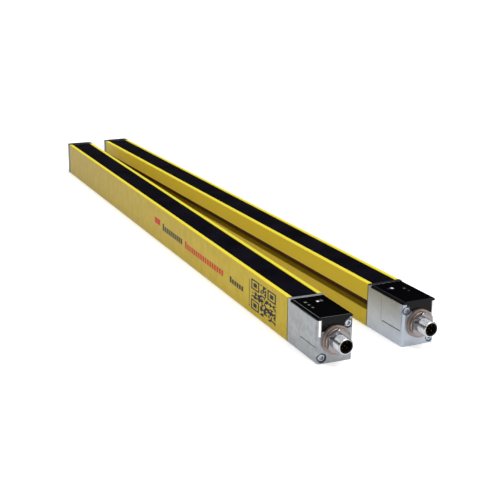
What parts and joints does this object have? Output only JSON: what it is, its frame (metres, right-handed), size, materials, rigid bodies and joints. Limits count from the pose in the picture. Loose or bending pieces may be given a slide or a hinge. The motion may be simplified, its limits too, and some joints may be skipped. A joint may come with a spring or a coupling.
{
  "type": "safety light curtain",
  "caption": "Pair of slim yellow safety light curtain bars with black front windows, die-cast connection caps and round plug connectors.",
  "frame": {"origin": "middle of the receiver's back face, half way along its housing", "axes": "+Z from the back face towards the window, +Y from the connector end to the far end, +X from the receiver to the transmitter"},
  "size_m": [0.1035, 0.6884, 0.0354],
  "materials": {
    "yellow_coat": "satin powder coat on extruded aluminium",
    "window": "polished black acrylic, open to infrared light",
    "die_cast": "satin die casting",
    "far_cap": "satin die casting",
    "cover": "polished dark cover",
    "gasket": "moulded rubber",
    "screw_steel": "zinc-plated steel",
    "plated_brass": "nickel-plated turned brass",
    "washer_steel": "plated steel washer with a bonded rubber lip",
    "contact_carrier": "moulded",
    "gold_contact": "gold-plated",
    "circuit_board": "solder mask over glass laminate",
    "lamp": "clear light guide",
    "ribbon": "flat flexible ribbon",
    "diode": "moulded",
    "optics_black": "light-absorbing moulded plastic",
    "lens": "clear moulded lens"
  },
  "bodies": {
    "root": {"receiver_housing_profile": "yellow_coat", "receiver_front_window": "window", "receiver_connection_cap": "die_cast", "receiver_display_cover": "cover", "receiver_cap_gasket": "gasket", "receiver_cap_screws": "screw_steel", "receiver_connector_shell": "plated_brass", "receiver_connector_washer": "washer_steel", "receiver_connector_insert": "contact_carrier", "receiver_connector_pins": "gold_contact", "receiver_lead_board": "circuit_board", "receiver_display_board": "circuit_board", "receiver_status_lamps": "lamp", "receiver_ribbon": "ribbon", "receiver_main_board": "circuit_board", "receiver_diodes": "diode", "receiver_optics_carrier": "optics_black", "receiver_lens_row": "lens", "receiver_far_gasket": "gasket", "receiver_far_cap": "far_cap", "receiver_far_cap_screws": "screw_steel", "transmitter_housing_profile": "yellow_coat", "transmitter_front_window": "window", "transmitter_connection_cap": "die_cast", "transmitter_display_cover": "cover", "transmitter_cap_gasket": "gasket", "transmitter_cap_screws": "screw_steel", "transmitter_connector_shell": "plated_brass", "transmitter_connector_washer": "washer_steel", "transmitter_connector_insert": "contact_carrier", "transmitter_connector_pins": "gold_contact", "transmitter_lead_board": "circuit_board", "transmitter_display_board": "circuit_board", "transmitter_status_lamps": "lamp", "transmitter_ribbon": "ribbon", "transmitter_main_board": "circuit_board", "transmitter_diodes": "diode", "transmitter_optics_carrier": "optics_black", "transmitter_lens_row": "lens", "transmitter_far_gasket": "gasket", "transmitter_far_cap": "far_cap", "transmitter_far_cap_screws": "screw_steel"}
  },
  "joints": []
}
